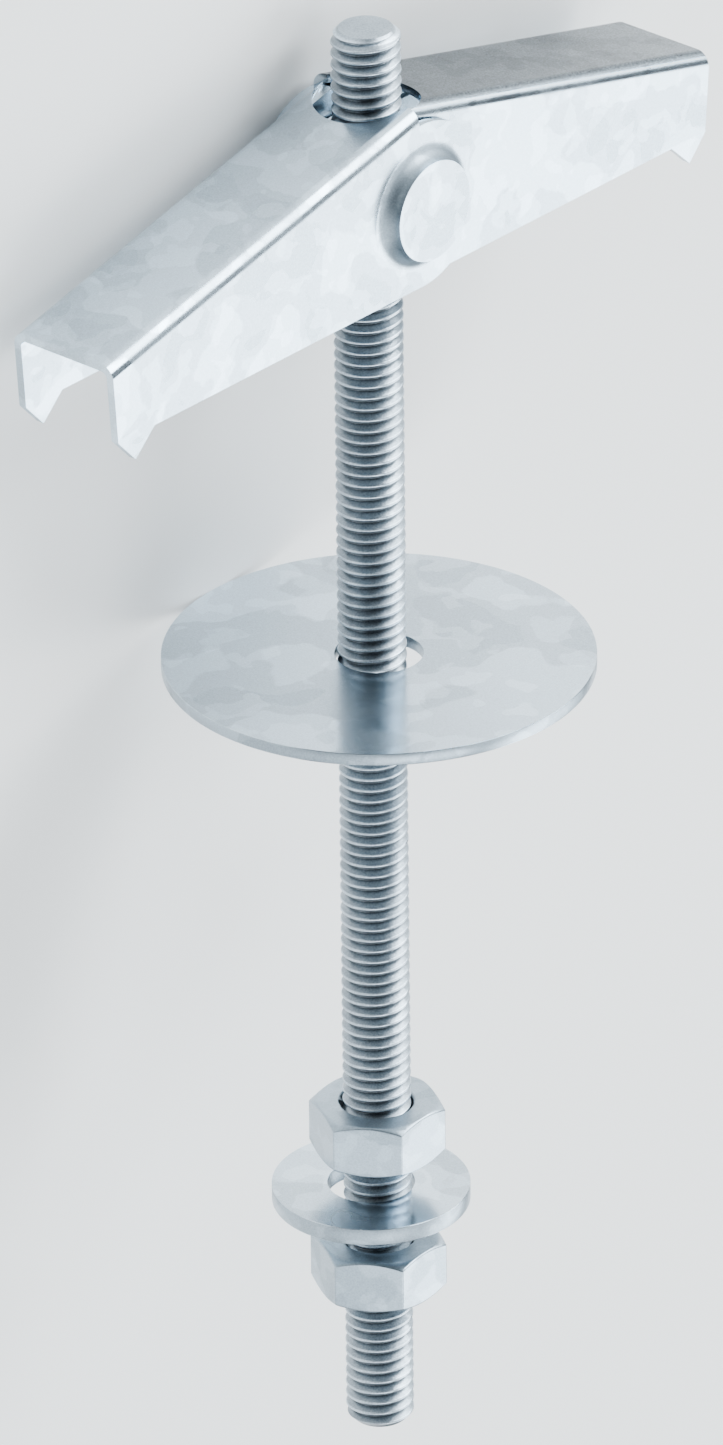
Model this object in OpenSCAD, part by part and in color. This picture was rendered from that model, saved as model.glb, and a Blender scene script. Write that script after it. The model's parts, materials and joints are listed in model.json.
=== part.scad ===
// Spring toggle bolt: two folded sheet-steel wings that flip open on a cross
// barrel nut, on an M4 threaded rod with a wide washer, a small washer and two nuts.
// The pieces are modelled round the rod, whose axis is +Z with the wing pivot at
// the origin, and at_rest() then lays them down as the bolt comes to lie on a table:
// on the lower boss of the wings and on the rim of the wide washer.

/* [Rod] */
// Outer diameter of the thread
rod_d = 4; // [3:0.25:4.5]
// Length of the rod
rod_len = 90; // [82.5:0.5:120]
// How far the rod stands out above the wing pivot
rod_above = 9.9; // [7.5:0.05:15]
// Chamfer at each end of the rod
rod_chamfer = 0.45; // [0.2:0.05:0.75]
// Radial clearance of a thread that turns on the rod
thread_clearance = 0.03; // [0.01:0.01:0.05]

/* [Wings] */
// Thickness of the wing sheet
sheet = 0.5; // [0.35:0.05:0.65]
// Outside width of a wing
wing_w = 7.4; // [7.1:0.05:9]
// Distance from the pivot to the end of a wing, at the pivot's height
wing_len = 26.1; // [22:0.1:30]
// Slope of the web, down from the ridge to the end
web_slope = 13.4; // [10:0.2:14]
// Height of the web's top above the pivot at the ridge
ridge_h = 6; // [5.9:0.05:7]
// Inside radius of the folds
fold_r = 0.4; // [0.25:0.05:0.5]
// Angle by which the end of a wing leans in towards its lower corner
end_slant = 4.5; // [0:0.5:8]
// Radius of the round ear, and depth of the lower edge below the pivot
ear_r = 5.05; // [4.8:0.05:5.15]
// Length along the wing of the tooth's sloping end
tooth_run = 1.4; // [1:0.05:1.75]
// Length along the wing of the tooth's inner flank
tooth_back = 1.6; // [1.2:0.05:2]
// How far the tooth reaches below the lower edge
tooth_h = 1.5; // [1:0.05:1.75]
// Radius of the hole for the rod that the two webs share
rod_hole_r = 3.1; // [2.5:0.05:3.2]
// Gap between the ends of the two webs, which are each other's stop
ridge_gap = 0.3; // [0.15:0.05:0.6]
// Gap between an outer ear and the inner ear beside it
leaf_gap = 0.28; // [0.16:0.02:0.4]

/* [Bosses] */
// Radius of the flat top of a pressed boss
boss_r = 3; // [2.8:0.05:3.15]
// How far a boss stands out of its ear
boss_h = 0.97; // [0.8:0.01:1.1]
// Radius of the hollow fillet at the foot of a boss
boss_fillet = 0.95; // [0.75:0.05:1]
// Radius of the rounded rim of a boss
boss_rim = 0.15; // [0.05:0.05:0.2]

/* [Barrel nut] */
// Diameter of the barrel between the ears
barrel_d = 6.5; // [5.75:0.05:6.7]
// Diameter of the journals the wings turn on
journal_d = 5.2; // [4.9:0.05:5.3]
// Radial clearance of a wing on its journal
journal_clearance = 0.04; // [0.02:0.01:0.05]
// End play of the barrel between the ears, and of a journal in its boss
end_play = 0.05; // [0.03:0.01:0.15]
// Chamfer at the ends of the barrel and the journals
barrel_chamfer = 0.15; // [0.05:0.05:0.2]

/* [Spring] */
// Diameter of the spring wire
wire_d = 0.3; // [0.2:0.01:0.31]
// Reach of the spring's legs along each wing
leg_reach = 10; // [7:0.25:13]
// Inside radius of the bends at the corners of the bridge
bridge_r = 0.6; // [0.4:0.05:1]
// Gap that keeps the coil off the barrel and the legs off the webs
spring_gap = 0.04; // [0.03:0.01:0.1]

/* [Washers] */
// Diameter of the wide washer
wide_d = 25; // [20:0.5:30]
// Diameter of the hole in the wide washer
wide_hole_d = 5.1; // [4.8:0.1:5.5]
// Thickness of the wide washer
wide_t = 0.75; // [0.5:0.05:1.25]
// Distance from the pivot down to the top of the wide washer
wide_at = 29.5; // [29:0.25:35]
// Diameter of the small washer
small_d = 11.6; // [10:0.05:12]
// Diameter of the hole in the small washer
small_hole_d = 5.1; // [4.8:0.1:5.5]
// Thickness of the small washer
small_t = 1.05; // [0.75:0.05:1.25]
// Distance from the pivot down to the top of the small washer
small_at = 64.6; // [64:0.05:65.5]
// Chamfer round the washers' edges
washer_edge = 0.1; // [0.05:0.05:0.15]
// Gap left where a washer and the rod lie on each other
rest_gap = 0.03; // [0.01:0.01:0.05]

/* [Nuts] */
// Width of a nut across its flats
nut_af = 7; // [6:0.05:7.5]
// Height of a nut
nut_h = 3.3; // [2.5:0.05:3.5]
// How far inside its flats the chamfer of a nut starts
nut_chamfer_in = 0.1; // [0.05:0.05:0.3]
// Angle of the chamfer at a nut's corners
nut_chamfer = 30; // [15:1:35]
// Depth of the countersink at each end of a nut's bore
nut_sink = 0.25; // [0.1:0.05:0.4]
// Turn of a nut's corners away from the wings' direction
nut_turn = 2; // [0:1:59]
// Distance from the pivot down to the top of the upper nut
upper_nut_at = 59; // [55:0.05:59.5]
// Distance from the pivot down to the top of the lower nut
lower_nut_at = 68; // [67:0.05:72.5]

/* [Hidden] */
$fn = 96;

rod_r = rod_d / 2;
bore_r = rod_r + thread_clearance;
journal_r = journal_d / 2;
over = 1; // how far a cutter runs past what it cuts

// Wings: each has an outer ear on one side and an inner ear on the other, so two
// equal stampings nest when one of them is turned half round the rod.
fold_outer = fold_r + sheet;
wing_shift = (sheet + leaf_gap) / 2;
outer_face = wing_w / 2 + wing_shift;
inner_face = wing_w / 2 - wing_shift;
tooth_x = wing_len - ear_r * tan(end_slant);
channel_depth = ridge_h + ear_r + tooth_h + 2 * over;
ear_hole_r = journal_r + journal_clearance;
fold_low = ridge_h - ridge_gap / 2 * tan(web_slope) - fold_outer / cos(web_slope);
ear_join = min(fold_low, ear_r); // where an ear meets the ridge's cut

// Barrel nut: its length follows from the room between the inner ears
barrel_half = inner_face - sheet - end_play;
journal_end = outer_face + boss_h - sheet - end_play;

// Spring: one turn round each end of the barrel, legs under the webs
wire_r = wire_d / 2;
coil_r = barrel_d / 2 + spring_gap + wire_r;
coil_out_y = barrel_half - wire_r - spring_gap;
coil_in_y = coil_out_y - wire_d - spring_gap / 2;
web_under = ridge_h - sheet / cos(web_slope);
leg_end_z = web_under - leg_reach * tan(web_slope) - (wire_r + spring_gap) / cos(web_slope);
leg_slope = atan2(leg_end_z, leg_reach) - acos(coil_r / norm([leg_reach, leg_end_z])) + 90;
coil_steps = 40;
bend_steps = 6;
wire_sides = 10;

// Washers: the wide one stands on its rim and carries the rod in its hole, the
// small one hangs on the rod, so each lies off the rod's axis by its own play.
wide_shift = -(wide_hole_d / 2 - rod_r - rest_gap);
small_shift = small_hole_d / 2 - rod_r - rest_gap;

// Rest: the floor touches the wide washer's upper rim corner and the rounded rim
// of the lower boss, so its tilt is that of the line that touches both.
rim_point = [wide_d / 2 + wide_shift, -wide_at - washer_edge];
boss_point = [outer_face + boss_h - boss_rim, boss_r - boss_rim];
rest_run = boss_point - rim_point;
rest_tilt = atan2(-rest_run[0], rest_run[1]) - asin(boss_rim / norm(rest_run));
rest_lift = rim_point[0] * cos(rest_tilt) + rim_point[1] * sin(rest_tilt);
low_end = rod_above - rod_len;
rest_slide = -((rod_above + low_end) / 2) * cos(rest_tilt);

// Lays the bolt down: the rod's top end points to +Y and dips by rest_tilt
module at_rest() {
    translate([0, rest_slide, rest_lift])
        rotate([-90 - rest_tilt, 0, 0])
            children();
}

// A straight round bar or tube along +Z with equal chamfers at its edges
module turned(outer, inner, length, chamfer) {
    rotate_extrude()
        polygon([
            [inner, 0], [outer - chamfer, 0], [outer, chamfer],
            [outer, length - chamfer], [outer - chamfer, length], [inner, length]
        ]);
}

module threaded_rod() {
    color("#8f979f")
        at_rest()
            translate([0, 0, low_end])
                turned(rod_r, 0, rod_len, rod_chamfer);
}

// Section of a folded channel: x is the height over the web's top, y runs across it
module channel_section(half, corner, top) {
    translate([top - channel_depth, -half])
        square([channel_depth - corner, 2 * half]);
    translate([top - channel_depth, corner - half])
        square([channel_depth, 2 * (half - corner)]);
    for (side = [-1, 1])
        translate([top - corner, side * (half - corner)])
            circle(corner);
}

// The folded sheet before it is cut to shape, running from the ridge along -X
module folded_channel() {
    translate([0, -wing_shift, ridge_h])
        rotate([0, -90 - web_slope, 0])
            translate([0, 0, -channel_depth])
                linear_extrude(wing_len + 2 * channel_depth)
                    difference() {
                        channel_section(wing_w / 2, fold_outer, 0);
                        channel_section(wing_w / 2 - sheet, fold_r, -sheet);
                    }
}

// Side outline of a wing in the XZ plane: the toothed end, the ridge's cut, and the
// ear's round half beyond the pivot, where no web is left
module side_outline() {
    top = ridge_h + over;
    polygon([
        [-ridge_gap / 2, top],
        [-wing_len - top * tan(end_slant), top],
        [-tooth_x, -ear_r],
        [-tooth_x + tooth_run, -ear_r - tooth_h],
        [-tooth_x + tooth_run + tooth_back, -ear_r],
        [0, -ear_r],
        [0, ear_join],
        [-ridge_gap / 2, ear_join]
    ]);
    intersection() {
        circle(ear_r);
        translate([0, -ear_r])
            square(2 * ear_r);
    }
}

// A disc across the ears' planes, from y = near to y = far
module cross_disc(radius, near, far) {
    translate([0, far, 0])
        rotate([90, 0, 0])
            cylinder(r = radius, h = far - near);
}

// Everything above the underside of the web
module above_web_underside() {
    translate([0, 0, ridge_h])
        rotate([0, -web_slope, 0])
            translate([-wing_w, -wing_w, -sheet])
                cube([2 * wing_w, 2 * wing_w, wing_w]);
}

// The boss pressed out of the outer ear, as a shell of the sheet's thickness that
// stands on the ear's outer face at height 0 and opens at height -sheet
module boss_shell() {
    foot = boss_r + boss_fillet;
    inner = boss_fillet + sheet;
    floor_z = boss_h - sheet;
    fold = [foot, boss_fillet];
    rim = [boss_r - boss_rim, boss_h - boss_rim];
    floor_angle = acos((fold[1] - floor_z) / inner);
    rotate_extrude()
        polygon(concat(
            [[0, floor_z], [0, boss_h]],
            [for (k = [0:4]) rim + boss_rim * [sin(k * 22.5), cos(k * 22.5)]],
            [for (k = [0:8]) fold + boss_fillet * [-cos(k * 11.25), -sin(k * 11.25)]],
            [for (k = [0:8]) fold + inner * [-sin(k * floor_angle / 8), -cos(k * floor_angle / 8)]]
        ));
}

// One wing stamping along -X, its outer ear with the boss on the -Y side
module wing() {
    foot = boss_r + boss_fillet;
    difference() {
        intersection() {
            folded_channel();
            translate([0, wing_w, 0])
                rotate([90, 0, 0])
                    linear_extrude(2 * wing_w)
                        side_outline();
        }
        intersection() {
            cylinder(r = rod_hole_r, h = ridge_h + over);
            above_web_underside();
        }
        cross_disc(foot, -outer_face - over, -outer_face + sheet + over);
        cross_disc(ear_hole_r, inner_face - sheet - over, inner_face + over);
    }
    translate([0, -outer_face, 0])
        rotate([90, 0, 0])
            boss_shell();
}

module left_wing() {
    color("#c3ccd2")
        at_rest()
            wing();
}

module right_wing() {
    color("#a9b1b8")
        at_rest()
            rotate([0, 0, 180])
                wing();
}

module barrel_nut() {
    color("#7f8890")
        at_rest()
            difference() {
                union() {
                    translate([0, barrel_half, 0])
                        rotate([90, 0, 0])
                            turned(barrel_d / 2, 0, 2 * barrel_half, barrel_chamfer);
                    translate([0, journal_end, 0])
                        rotate([90, 0, 0])
                            turned(journal_r, 0, 2 * journal_end, barrel_chamfer);
                }
                translate([0, 0, -barrel_d])
                    cylinder(r = bore_r, h = 2 * barrel_d);
            }
}

// Route of the wire on the -Y side: in along the left wing, once round the
// barrel, out along the right wing and round the bridge's corner
function leg_point(side, y) = [side * leg_reach, y, leg_end_z];
function coil_point(turn, y) = [coil_r * sin(turn), y, coil_r * cos(turn)];
function half_route() = concat(
    [leg_point(-1, -coil_out_y)],
    [for (k = [0:coil_steps])
        let (share = k / coil_steps, turn = -leg_slope + share * (360 + 2 * leg_slope))
        coil_point(turn, -coil_out_y + share * (coil_out_y - coil_in_y))],
    [for (k = [0:bend_steps])
        let (turn = k * 90 / bend_steps, r = bridge_r + wire_r)
        leg_point(1, -coil_in_y) + r * [sin(turn) - 1, 1 - cos(turn), 0]]
);
function mirrored(points) = [for (k = [len(points) - 1:-1:0])
    [points[k][0], -points[k][1], points[k][2]]];

// A round wire swept along a route, one ring of wire_sides points at each place
function unit(v) = v / norm(v);
function heading(route, k) =
    unit(route[min(k + 1, len(route) - 1)] - route[max(k - 1, 0)]);
function wire_ring(route, k) =
    let (
        along = heading(route, k),
        across = unit(cross([sin(17), 0.1, cos(17)], along)),
        up = cross(along, across)
    )
    [for (s = [0:wire_sides - 1])
        let (turn = s * 360 / wire_sides)
        route[k] + wire_r * (cos(turn) * across + sin(turn) * up)];

module swept_wire(route) {
    last = len(route) - 1;
    n = wire_sides;
    polyhedron(
        points = [for (k = [0:last]) each wire_ring(route, k)],
        faces = concat(
            [[for (s = [0:n - 1]) s]],
            [for (k = [0:last - 1]) for (s = [0:n - 1])
                [k * n + s, (k + 1) * n + s, (k + 1) * n + (s + 1) % n, k * n + (s + 1) % n]],
            [[for (s = [n - 1:-1:0]) last * n + s]]
        )
    );
}

module torsion_spring() {
    color("#d9dde0")
        at_rest()
            swept_wire(concat(half_route(), mirrored(half_route())));
}

module wide_washer() {
    color("#c9d1d6")
        at_rest()
            translate([0, wide_shift, -wide_at - wide_t])
                turned_washer(wide_d, wide_hole_d, wide_t);
}

module small_washer() {
    color("#c2cad0")
        at_rest()
            translate([0, small_shift, -small_at - small_t])
                turned_washer(small_d, small_hole_d, small_t);
}

module turned_washer(outer_d, hole_d, thickness) {
    turned(outer_d / 2, hole_d / 2, thickness, washer_edge);
}

// A hexagon nut, chamfered at both ends and countersunk at both ends of its bore
module hex_nut() {
    corner_r = nut_af / 2 / cos(30);
    flat_r = nut_af / 2 - nut_chamfer_in;
    drop = (corner_r + over - flat_r) * tan(nut_chamfer);
    difference() {
        intersection() {
            rotate(nut_turn)
                cylinder(r = corner_r, h = nut_h, $fn = 6);
            rotate_extrude()
                polygon([
                    [0, 0], [flat_r, 0], [corner_r + over, drop],
                    [corner_r + over, nut_h - drop], [flat_r, nut_h], [0, nut_h]
                ]);
        }
        rotate_extrude()
            polygon([
                [0, -over], [bore_r + nut_sink + over, -over], [bore_r, nut_sink],
                [bore_r, nut_h - nut_sink], [bore_r + nut_sink + over, nut_h + over],
                [0, nut_h + over]
            ]);
    }
}

module upper_nut() {
    color("#d3dadf")
        at_rest()
            translate([0, 0, -upper_nut_at - nut_h])
                hex_nut();
}

module lower_nut() {
    color("#d3dadf")
        at_rest()
            translate([0, 0, -lower_nut_at - nut_h])
                hex_nut();
}

threaded_rod();
left_wing();
right_wing();
barrel_nut();
torsion_spring();
wide_washer();
small_washer();
upper_nut();
lower_nut();
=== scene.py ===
import bpy, json, math
from mathutils import Matrix, Vector


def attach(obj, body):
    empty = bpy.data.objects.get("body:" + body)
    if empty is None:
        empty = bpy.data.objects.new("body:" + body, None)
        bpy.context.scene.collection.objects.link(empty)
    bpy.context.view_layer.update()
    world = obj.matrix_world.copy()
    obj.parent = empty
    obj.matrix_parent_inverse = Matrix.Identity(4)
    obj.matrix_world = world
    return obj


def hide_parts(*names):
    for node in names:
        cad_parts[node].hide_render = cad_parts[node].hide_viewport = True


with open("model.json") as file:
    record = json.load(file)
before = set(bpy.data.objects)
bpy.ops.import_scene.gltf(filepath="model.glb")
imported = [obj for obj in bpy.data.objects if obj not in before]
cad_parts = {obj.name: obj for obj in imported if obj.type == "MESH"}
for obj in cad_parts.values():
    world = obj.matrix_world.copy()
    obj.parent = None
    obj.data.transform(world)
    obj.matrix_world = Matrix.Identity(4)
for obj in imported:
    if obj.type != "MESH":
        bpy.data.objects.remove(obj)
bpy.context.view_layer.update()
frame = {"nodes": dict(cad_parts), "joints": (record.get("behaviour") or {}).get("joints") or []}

# ---- Threaded rod -----------------------------------------------------------------
# Steel rod with a right-hand thread rolled over its whole length and a chamfer at each
# end, zinc-plated. The barrel nut and the two hexagon nuts screw along it.
rod_radius, rod_top, rod_length, rod_chamfer = 0.002, 0.0099, 0.090, 0.00046
pitch, thread_depth, thread_steps = 0.0007, 0.00040, 36
rolled_tint = (0.255, 0.293, 0.327)

# Painted shade in the thread's root and painted highlights on its crests and its end: between the first
# and the second number of a pair, each goes from none to full
root_painted_shade, crest_painted_highlight, end_painted_highlight = (0.00161, 0.00178), (0.00193, 0.00198), (0.00948, 0.00952)

# The bolt lies on its side. Its pieces are modelled upright round the rod, with the
# wings' pivot at the origin, and are then turned to where they rest.
joints = {joint["name"]: joint for joint in frame["joints"]}
pivot = Vector(joints["left_wing_fold"]["pos_m"])
across = Vector(joints["left_wing_fold"]["axis"])
rod_up = -Vector(joints["head_travel"]["axis"])
lying = Matrix.Translation(pivot) @ Matrix((across.cross(rod_up), across, rod_up)).transposed().to_4x4()


class Wire:
    """A node's output that Python's operators can work on."""

    def __init__(self, finish, socket):
        self.finish, self.socket = finish, socket

    def maths(self, operation, other, swap=False):
        pair = (other, self) if swap else (self, other)
        return self.finish.node("ShaderNodeMath", {"operation": operation}, {0: pair[0], 1: pair[1]})

    def __add__(self, other): return self.maths("ADD", other)
    def __radd__(self, other): return self.maths("ADD", other, True)
    def __sub__(self, other): return self.maths("SUBTRACT", other)
    def __rsub__(self, other): return self.maths("SUBTRACT", other, True)
    def __mul__(self, other): return self.maths("MULTIPLY", other)
    def __rmul__(self, other): return self.maths("MULTIPLY", other, True)

    def above(self, low, high):
        """0 up to low, 1 from high on, with a soft step between them."""
        return self.finish.node("ShaderNodeMapRange", {"interpolation_type": "SMOOTHSTEP"},
                                {"Value": self, "From Min": low, "From Max": high})

    def along(self, direction):
        """How far a place lies along a direction."""
        return self.finish.node("ShaderNodeVectorMath", {"operation": "DOT_PRODUCT"},
                                {0: self, 1: direction}, output=1)

    def off_rod(self):
        """How far a place lies from the rod's axis."""
        sideways = self.finish.node("ShaderNodeVectorMath", {"operation": "CROSS_PRODUCT"},
                                    {0: self, 1: rod_up})
        return self.finish.node("ShaderNodeVectorMath", {"operation": "LENGTH"}, {0: sideways}, output=1)


class Finish:
    """A material that is built up node by node."""

    def __init__(self, name):
        self.material = bpy.data.materials.new(name)
        self.material.use_nodes = True
        self.tree = self.material.node_tree
        self.shader = self.tree.nodes["Principled BSDF"]

    def node(self, kind, settings=None, inputs=None, output=0):
        node = self.tree.nodes.new(kind)
        for key, value in (settings or {}).items():
            setattr(node, key, value)
        for key, value in (inputs or {}).items():
            self.feed(node.inputs[key], value)
        return Wire(self, node.outputs[output])

    def noise(self, place, scale, output=0, **inputs):
        return self.node("ShaderNodeTexNoise", {}, {"Vector": place, "Scale": scale, **inputs}, output)

    def feed(self, socket, value):
        if isinstance(value, Wire):
            self.tree.links.new(value.socket, socket)
        else:
            socket.default_value = value

    def wear(self, **values):
        for key, value in values.items():
            self.feed(self.shader.inputs[key.replace("_", " ")], value)
        return self.material


def zinc(name, tint, patch=0.003, rough=0.36, grain=0.5, relief=0.0000015, contrast=1.0, ripple=0.0,
         painted_light=None):
    """Zinc over steel, with spangle patches, fine specks and any painted light and shade that a piece
    brings.

    patch is the size of a patch, contrast how much patches differ, grain how strong the
    specks are, relief their height, and ripple the share of a broader unevenness.
    """
    finish = Finish(name)
    place = finish.node("ShaderNodeTexCoord", output=3)
    stir = finish.noise(place, 1.6 / patch, output=1, Detail=2.0)
    stirred = finish.node("ShaderNodeVectorMath", {"operation": "MULTIPLY_ADD"},
                          {0: stir, 1: (patch * 0.5,) * 3, 2: place})
    broad = finish.noise(stirred, 0.8 / patch, Detail=1.0, Roughness=0.4)
    small = finish.noise(stirred, 1.9 / patch, Detail=1.0, Roughness=0.4)
    speck = finish.noise(place, 10000.0, Detail=1.0)
    bright = broad.above(0.515, 0.54) * 0.5 + small.above(0.545, 0.575) * 0.35
    spangle = bright - broad.above(0.40, 0.385) * 0.22 - 0.15
    shade = 1 + spangle * (0.42 * contrast) + (speck - 0.5) * grain
    # A piece's painted light and shade go into the colour here
    if painted_light:
        from_pivot = finish.node("ShaderNodeVectorMath", {"operation": "SUBTRACT"}, {0: place, 1: pivot})
        shade, spangle = painted_light(from_pivot, speck, shade, spangle)
    surface = speck
    if ripple:
        surface = speck + finish.noise(place, 2600.0, Detail=1.0) * ripple
    return finish.wear(
        Base_Color=finish.node("ShaderNodeVectorMath", {"operation": "SCALE"}, {0: tint, "Scale": shade}),
        Metallic=1.0,
        Roughness=rough - spangle * 0.12,
        Normal=finish.node("ShaderNodeBump", {}, {"Strength": 1.0, "Distance": relief, "Height": surface}),
    )


def thread_painted_shading(from_pivot, speck, shade, spangle):
    """Painted shade in the thread's root, painted highlights on its crests and on the rod's end."""
    radius = from_pivot.off_rod()
    shade = shade * (0.52 + radius.above(*root_painted_shade) * 0.48 + radius.above(*crest_painted_highlight) * 0.9)
    return shade * (1 + from_pivot.along(rod_up).above(*end_painted_highlight) * 1.5), spangle


def coat(piece, *materials):
    piece.data.materials.clear()
    for material in materials:
        piece.data.materials.append(material)


def single_out(piece):
    bpy.ops.object.select_all(action="DESELECT")
    piece.select_set(True)
    bpy.context.view_layer.objects.active = piece


def pick(piece, chosen):
    """Open a piece for editing, with only those of its points picked that are chosen."""
    single_out(piece)
    bpy.ops.object.mode_set(mode="EDIT")
    bpy.ops.mesh.select_mode(type="VERT")
    bpy.ops.mesh.select_all(action="DESELECT")
    bpy.ops.object.mode_set(mode="OBJECT")
    for point in piece.data.vertices:
        point.select = chosen(point.co)
    bpy.ops.object.mode_set(mode="EDIT")


def face_outwards():
    """Turn the faces of the piece in edit mode outwards, and leave edit mode."""
    bpy.ops.mesh.select_all(action="SELECT")
    bpy.ops.mesh.normals_make_consistent(inside=False)
    bpy.ops.object.mode_set(mode="OBJECT")


def work(piece, kind, **settings):
    """Put a modifier on a piece and apply it."""
    bpy.context.view_layer.objects.active = piece
    modifier = piece.modifiers.new(kind, kind)
    for key, value in settings.items():
        setattr(modifier, key, value)
    bpy.ops.object.modifier_apply(modifier=modifier.name)


# Section of one turn of the thread, from root to root over the crest: the run along the
# rod in parts of the pitch, and the depth below the crest in parts of the thread's depth
section = [(-0.5, 1), (-0.46, 0.985), (-0.42, 0.90), (-0.12, 0.10), (-0.095, 0.04), (-0.055, 0)]
section += [(0, 0)] + [(-run, deep) for run, deep in reversed(section)]
bpy.ops.object.select_all(action="DESELECT")
bpy.ops.mesh.primitive_plane_add(size=0.0001, location=(rod_radius - thread_depth, 0, -pitch / 2))
rod = bpy.context.object
rod.name = "rolled_thread"
bpy.ops.object.transform_apply(location=True, rotation=True, scale=True)
pick(rod, lambda place: True)
bpy.ops.mesh.merge(type="CENTER")
for (run, deep), (next_run, next_deep) in zip(section, section[1:]):
    step = ((deep - next_deep) * thread_depth, 0, (next_run - run) * pitch)
    bpy.ops.mesh.extrude_region_move(TRANSFORM_OT_translate={"value": step})
bpy.ops.object.mode_set(mode="OBJECT")

# The thread is turned a few pitches too long and cut to length
work(rod, "SCREW", angle=2 * math.pi, screw_offset=pitch, iterations=int(rod_length / pitch) + 4,
     steps=thread_steps, render_steps=thread_steps)
bpy.ops.object.mode_set(mode="EDIT")
bpy.ops.mesh.select_all(action="SELECT")
bpy.ops.mesh.remove_doubles(threshold=0.000001)
bpy.ops.object.mode_set(mode="OBJECT")
rod.data.transform(Matrix.Translation((0, 0, rod_top - rod_length - 2 * pitch)))
for height, waste in ((rod_top - rod_length, "clear_inner"), (rod_top, "clear_outer")):
    bpy.ops.object.mode_set(mode="EDIT")
    bpy.ops.mesh.select_all(action="SELECT")
    bpy.ops.mesh.bisect(plane_co=(0, 0, height), plane_no=(0, 0, 1), use_fill=True,
                        threshold=0.0000001, **{waste: True})
    bpy.ops.object.mode_set(mode="OBJECT")
bpy.ops.object.mode_set(mode="EDIT")
face_outwards()

# What lies outside a chamfered cylinder of the rod's size is trimmed off
bpy.ops.mesh.primitive_cylinder_add(vertices=80, radius=rod_radius + 0.00001, depth=rod_length - 0.00001,
                                    location=(0, 0, rod_top - rod_length / 2))
chamfered = bpy.context.object
work(chamfered, "BEVEL", width=rod_chamfer, segments=1, limit_method="ANGLE")
work(rod, "BOOLEAN", operation="INTERSECT", solver="EXACT", object=chamfered)
bpy.data.objects.remove(chamfered)
rod.data.transform(lying)
single_out(rod)
bpy.ops.object.shade_smooth_by_angle(angle=math.radians(40))
# The rod's zinc carries the thread's painted shade and painted highlights
coat(rod, zinc("rolled_zinc", rolled_tint, grain=0.9, relief=0.000007, contrast=0.3, ripple=1.5,
               painted_light=thread_painted_shading))
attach(rod, "rod")
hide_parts("threaded_rod")

# ---- Wings ------------------------------------------------------------------------
# Two equal channels pressed from 0.5 mm galvanised sheet, one turned half round the rod.
# A boss pressed out of each outer ear turns on the barrel nut's journal. Painted shade
# darkens the right web and the side of each boss.
outer_face, wing_edge, web_slope = 0.00409, 0.00006, math.radians(13.4)
boss_radius, boss_height, boss_fillet, boss_foot = 0.003, 0.00097, 0.00090, 0.00395
hollow_fillet, hollow_depth = 0.00145, 0.00047
right_web = math.cos(web_slope) * rod_up + math.sin(web_slope) * across.cross(rod_up)


def boss_painted_shade(from_pivot, speck, shade, spangle):
    """Rougher on the drawn side of the boss, and darker there as painted shade."""
    aside = from_pivot.along(across)
    aside = aside * aside
    brim = outer_face + boss_height
    top = aside.above((brim - 0.00005) ** 2, (brim - 0.00001) ** 2)
    boss_shade_and_roughness = aside.above((outer_face + 0.000005) ** 2, (outer_face + 0.00015) ** 2) - top
    side = aside.above(outer_face ** 2, (outer_face + 0.00002) ** 2) - top
    return shade * (1 - boss_shade_and_roughness * 0.5), spangle - boss_shade_and_roughness * 0.6 - side * 1.6


def boss_and_web_painted_shade(from_pivot, speck, shade, spangle):
    """The same with speckled painted shade on the right web, fading out over its folds."""
    shade, spangle = boss_painted_shade(from_pivot, speck, shade, spangle)
    web = from_pivot.along(right_web).above(0.00548, 0.00579)
    return shade * (1 - web * (0.8 - (speck - 0.5) * 0.7)), spangle


def merged_copy(node, name):
    """A copy of a node, with the facets of each of its flats merged."""
    piece = frame["nodes"][node].copy()
    piece.data = piece.data.copy()
    piece.name = name
    bpy.context.collection.objects.link(piece)
    pick(piece, lambda place: True)
    bpy.ops.mesh.remove_doubles(threshold=0.0000001)
    bpy.ops.mesh.dissolve_limited(angle_limit=math.radians(0.5))
    bpy.ops.object.mode_set(mode="OBJECT")
    return piece


def ring_to(radius, height, now):
    """Extrude the picked ring round the pivot to a new radius and height over the ear."""
    bpy.ops.mesh.extrude_edges_move(TRANSFORM_OT_translate={"value": (0, now[1] - height, 0)})
    bpy.ops.transform.resize(value=(radius / now[0], 1, radius / now[0]),
                             center_override=(0, -outer_face - height, 0))
    return radius, height


def finish_edges(piece, rounding, material, body):
    """Round the sharp edges a little, keep the flats flat, and put the piece on its body."""
    work(piece, "BEVEL", width=rounding, segments=2, limit_method="ANGLE", angle_limit=math.radians(50))
    bpy.ops.object.shade_smooth_by_angle(angle=math.radians(40))
    work(piece, "WEIGHTED_NORMAL", weight=100, keep_sharp=True)
    coat(piece, material)
    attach(piece, body)
    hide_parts(body)


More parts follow.
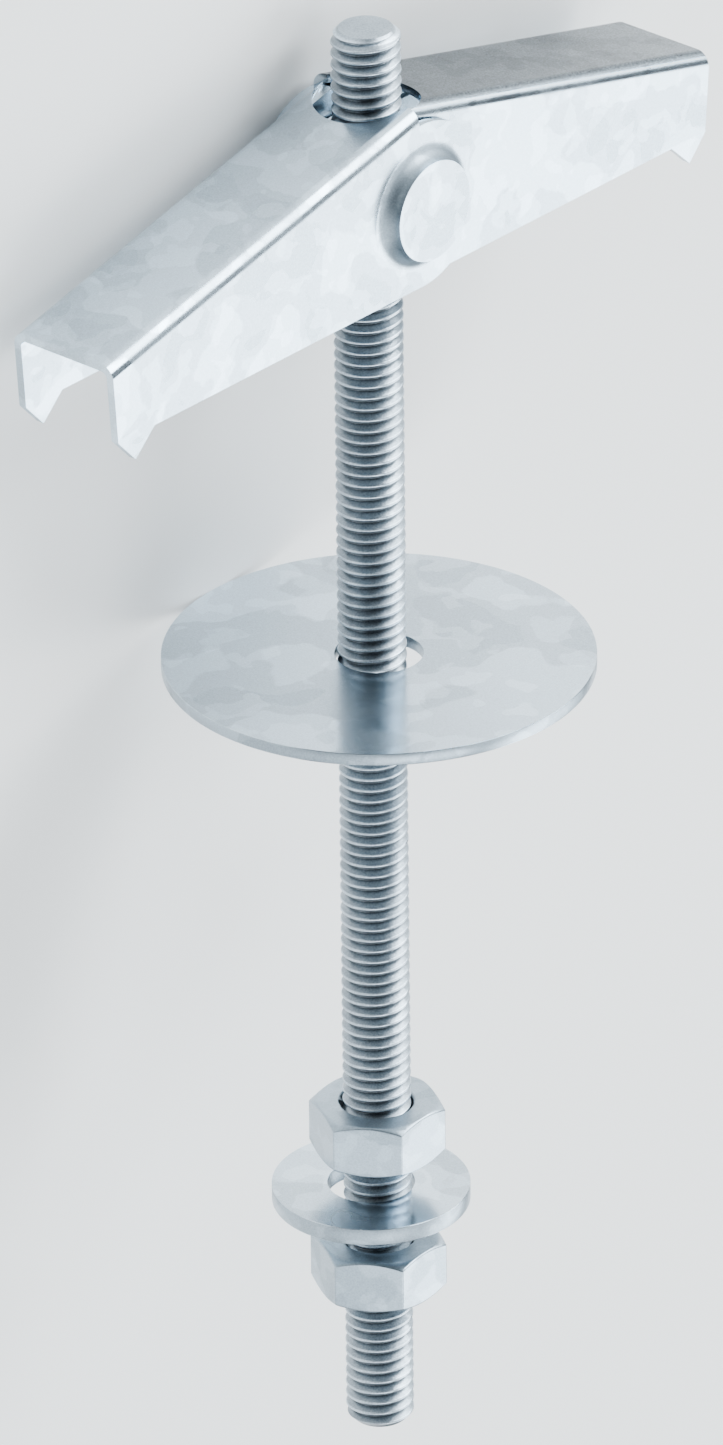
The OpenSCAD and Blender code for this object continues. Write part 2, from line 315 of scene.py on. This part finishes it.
def pressed_wing(node, seat, material):
    wing = merged_copy(node, "pressed_" + node)
    wing.data.transform(seat.inverted())

    # The boss's coarse outside goes, and finer rings are drawn in from its foot
    pick(wing, lambda place: place.y < -outer_face - 0.00001)
    bpy.ops.mesh.delete(type="VERT")
    bpy.ops.object.mode_set(mode="OBJECT")
    pick(wing, lambda place: place.y < -outer_face + 0.00001
         and math.hypot(place.x, place.z) < boss_foot + 0.00001)
    now = (boss_foot, 0)
    for step in range(1, 11):
        turn = math.radians(9 * step)
        now = ring_to(boss_radius + boss_fillet * (1 - math.sin(turn)),
                      boss_height * 0.96 * (1 - math.cos(turn)), now)
    ring_to(boss_radius, boss_height, now)
    bpy.ops.mesh.edge_face_add()
    bpy.ops.object.mode_set(mode="OBJECT")

    # The hollow behind it: the last three of its wall's eight steps, and then its floor
    fold = boss_foot - boss_radius
    wall_angle = math.acos((fold - hollow_depth) / hollow_fillet)
    wall = []
    for step in range(5, 9):
        turn = wall_angle * step / 8
        wall.append((boss_foot - hollow_fillet * math.sin(turn), fold - hollow_fillet * math.cos(turn)))
    now = wall[0]
    pick(wing, lambda place: -outer_face < place.y < -outer_face + 0.00012
         and math.hypot(place.x, place.z) < now[0] + 0.00002)
    for radius, height in wall[1:]:
        now = ring_to(radius, height, now)
    bpy.ops.mesh.edge_face_add()
    face_outwards()
    wing.data.transform(seat)
    finish_edges(wing, wing_edge, material, node)


galvanised = {"tint": (0.44, 0.52, 0.585), "rough": 0.25, "contrast": 0.95}
pressed_wing("left_wing", lying, zinc("galvanised_sheet", **galvanised, painted_light=boss_painted_shade))
# The right wing's sheet has painted shade on its web
pressed_wing("right_wing", lying @ Matrix.Rotation(math.pi, 4, "Z"),
             zinc("galvanised_sheet_painted_web_shade", **galvanised, painted_light=boss_and_web_painted_shade))

# ---- Barrel nut -------------------------------------------------------------------
# Turned steel barrel across the wings, zinc-plated and tapped for the rod. The journals
# at its ends carry both wings.
coat(frame["nodes"]["barrel_nut"], zinc("turned_zinc", (0.36, 0.42, 0.48), contrast=0.5))

# ---- Torsion spring ---------------------------------------------------------------
# Steel wire wound once round each end of the barrel, with legs that push the wings
# open from under their webs. Its coils stay on the barrel, and its legs fold with the
# wings.
coil_reach, spring_fold, tuck = 0.0037, math.radians(81), 0.9
spring_zinc = zinc("spring_wire", (0.28, 0.30, 0.32), contrast=0.3)


def wire_finish(piece, body):
    pick(piece, lambda place: True)
    bpy.ops.mesh.fill_holes(sides=0)
    face_outwards()
    piece.data.transform(lying)
    bpy.ops.object.shade_smooth_by_angle(angle=math.radians(40))
    coat(piece, spring_zinc)
    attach(piece, body)
    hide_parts("torsion_spring")


coils = merged_copy("torsion_spring", "spring_coils")
coils.data.transform(lying.inverted())
for side, body, name in ((-1, "left_wing", "left_spring_legs"), (1, "right_wing", "right_spring_legs")):
    pick(coils, lambda place: False)
    bpy.ops.mesh.select_mode(type="FACE")
    bpy.ops.object.mode_set(mode="OBJECT")
    for face in coils.data.polygons:
        face.select = face.center.x * side > 0 and math.hypot(face.center.x, face.center.z) > coil_reach
    bpy.ops.object.mode_set(mode="EDIT")
    bpy.ops.mesh.separate(type="SELECTED")
    bpy.ops.object.mode_set(mode="OBJECT")
    legs = next(piece for piece in bpy.context.selected_objects if piece is not coils)
    legs.name = name

    # Each leg goes on round the coil, inside its wire, and comes out as the wing folds
    for end in (-1, 1):
        pick(legs, lambda place: place.y * end > 0 and math.hypot(place.x, place.z) < coil_reach)
        bpy.ops.mesh.extrude_edges_move()
        bpy.ops.transform.resize(value=(tuck,) * 3)
        bpy.ops.mesh.spin(steps=9, angle=side * spring_fold, center=(0, 0, 0), axis=(0, 1, 0))
        bpy.ops.object.mode_set(mode="OBJECT")
    wire_finish(legs, body)
wire_finish(coils, "head")

# ---- Washers ----------------------------------------------------------------------
# A wide and a small washer punched from galvanised steel sheet, with painted shade on
# their rougher sheared rims. They hang loose on the rod, off its axis by their play.
wide_radius, wide_thickness, wide_top = 0.0125, 0.00075, -0.0295
small_radius, small_thickness, small_top = 0.0058, 0.00105, -0.0646
washer_hole, washer_play, washer_edge = 0.00255, 0.00052, 0.00004
washer_zinc = zinc("washer_zinc", (0.53, 0.61, 0.675), patch=0.0042, rough=0.24, contrast=1.1)
# The rims' darker tint is painted shade; their higher roughness is their own
rim_zinc_painted_shade = zinc("rim_zinc_painted_shade", (0.34, 0.40, 0.45), rough=0.4, contrast=0.8)


def punched_washer(node, radius, thickness, top, aside):
    bpy.ops.object.select_all(action="DESELECT")
    bpy.ops.mesh.primitive_circle_add(vertices=160, radius=radius, fill_type="NOTHING")
    washer = bpy.context.object
    washer.name = "punched_" + node
    pick(washer, lambda place: True)
    for rise, widen in ((thickness, washer_hole / radius), (-thickness, radius / washer_hole)):
        bpy.ops.mesh.extrude_edges_move(TRANSFORM_OT_translate={"value": (0, 0, rise)})
        bpy.ops.mesh.extrude_edges_move()
        bpy.ops.transform.resize(value=(widen, widen, 1))
    bpy.ops.mesh.select_all(action="SELECT")
    bpy.ops.mesh.remove_doubles(threshold=0.000001)
    face_outwards()
    washer.data.transform(lying @ Matrix.Translation((0, aside, top - thickness)))
    finish_edges(washer, washer_edge, washer_zinc, node)
    washer.data.materials.append(rim_zinc_painted_shade)
    for face in washer.data.polygons:
        face.material_index = 1 if abs(face.normal.dot(rod_up)) < 0.3 else 0


punched_washer("wide_washer", wide_radius, wide_thickness, wide_top, -washer_play)
punched_washer("small_washer", small_radius, small_thickness, small_top, washer_play)

# ---- Nuts -------------------------------------------------------------------------
# Two cold-forged hexagon nuts, zinc-plated, with painted shade in their tapped bores. The rod's free
# end carries them, one on each side of the small washer.
nut_edge, bore_shade = 0.00008, (0.00205, 0.00232)


# Painted shade in the nuts' tapped bores
def bore_painted_shade(from_pivot, speck, shade, spangle):
    return shade * (0.2 + from_pivot.off_rod().above(*bore_shade) * 0.8), spangle


nut_zinc = zinc("nut_zinc", (0.32, 0.38, 0.43), contrast=0.6, painted_light=bore_painted_shade)
for node in ("upper_nut", "lower_nut"):
    finish_edges(merged_copy(node, "forged_" + node), nut_edge, nut_zinc, node)

# ---- Floor, light and camera ------------------------------------------------------
# A plain pale floor under large soft lamps, all aimed at the bolt. The camera looks down
# on it from its upper left, rolled so that the rod stands upright in the picture.
lamp_colour, lamp_distance = (0.87, 0.95, 1.0), 1.0
focal_length, picture_height, film_height = 16306.3, 1445, 36
camera_distance, aim = 0.93625, Vector((-0.000434, 0.000494, -0.03422))

bpy.ops.mesh.primitive_plane_add(size=6, location=(0, 0, 0))
floor = bpy.context.object
floor.name = "floor"
coat(floor, Finish("floor_paper").wear(Base_Color=(0.92, 0.9, 0.88, 1), Roughness=0.7))

world = bpy.data.worlds.new("studio")
bpy.context.scene.world = world
world.use_nodes = True
world.node_tree.nodes["Background"].inputs["Color"].default_value = (0.93, 0.96, 1.0, 1)
world.node_tree.nodes["Background"].inputs["Strength"].default_value = 0.11


def soft_light(name, azimuth, elevation, size, radiance):
    lamp = bpy.data.objects.new(name, bpy.data.lights.new(name, "AREA"))
    bpy.context.collection.objects.link(lamp)
    lamp.data.shape = "DISK"
    lamp.data.size = size
    lamp.data.energy = radiance * (math.pi * size / 2) ** 2
    lamp.data.color = lamp_colour
    turn, rise = math.radians(azimuth), math.radians(elevation)
    outward = Vector((math.cos(rise) * math.cos(turn), math.cos(rise) * math.sin(turn), math.sin(rise)))
    lamp.location = lamp_distance * outward
    lamp.rotation_euler = outward.to_track_quat("Z", "Y").to_euler()


soft_light("back_key", 331, 44, 0.85, 8.8)
soft_light("front_key", 53, 18, 0.9, 17)
soft_light("front_fill", 60, 70, 0.62, 3)
soft_light("high_fill", 228, 64, 0.62, 6.5)
soft_light("low_fill", 209, 28, 0.85, 3.2)

toward_camera = Vector((-0.66346, -0.58571, 0.46558)).normalized()
picture_right = Vector((0.65791, -0.75303, -0.00978)).normalized()
picture_up = toward_camera.cross(picture_right)
camera = bpy.data.objects.new("camera", bpy.data.cameras.new("camera"))
bpy.context.collection.objects.link(camera)
camera.data.sensor_fit = "VERTICAL"
camera.data.sensor_height = film_height
camera.data.lens = focal_length / picture_height * film_height
camera.data.clip_start = 0.05
camera.data.clip_end = 20
camera.matrix_world = lying @ (
    Matrix.Translation(aim + camera_distance * toward_camera)
    @ Matrix((picture_right, picture_up, toward_camera)).transposed().to_4x4()
)
bpy.context.scene.camera = camera
